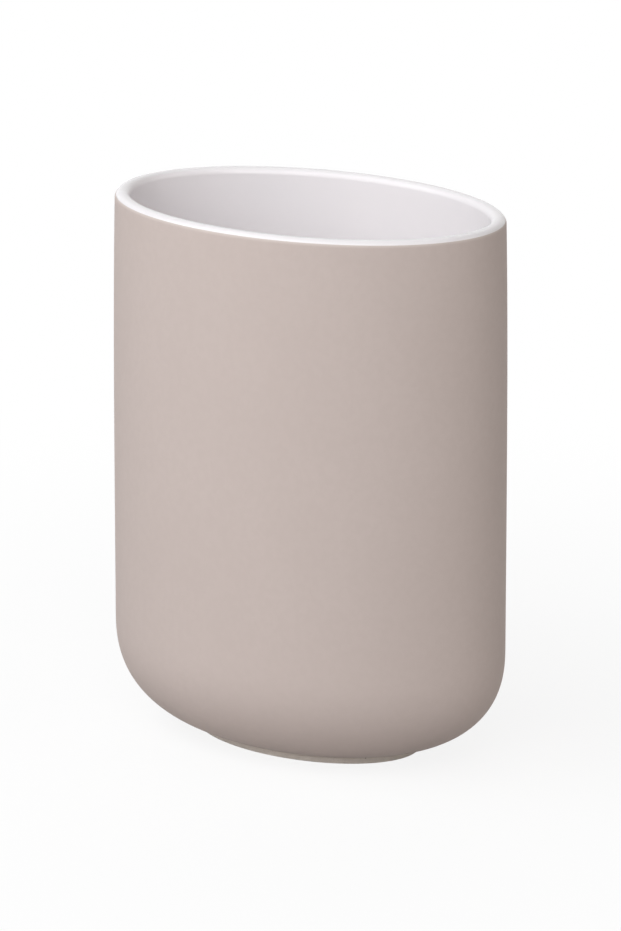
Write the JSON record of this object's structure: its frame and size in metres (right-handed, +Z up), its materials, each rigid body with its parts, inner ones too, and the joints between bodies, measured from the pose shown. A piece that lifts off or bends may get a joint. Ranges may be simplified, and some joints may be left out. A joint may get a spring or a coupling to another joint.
{
  "type": "toothbrush holder",
  "caption": "Oval free-standing ceramic tumbler for toothbrushes, with a matte beige outside, white glazed inside and rim, and a small oval foot ring.",
  "frame": {"origin": "middle of the oval on the plane that the foot ring stands on", "axes": "+X along the oval's long way, +Y across its short way, +Z up out of the open top"},
  "size_m": [0.0898, 0.0628, 0.11],
  "materials": {
    "stoneware": "bare fired clay, matte",
    "white_glaze": "gloss",
    "beige_coating": "matte, soft to the touch"
  },
  "bodies": {
    "root": {"stoneware_body": "stoneware", "inner_glaze": "white_glaze", "outer_coating": "beige_coating", "base_glaze": "white_glaze"}
  },
  "joints": []
}
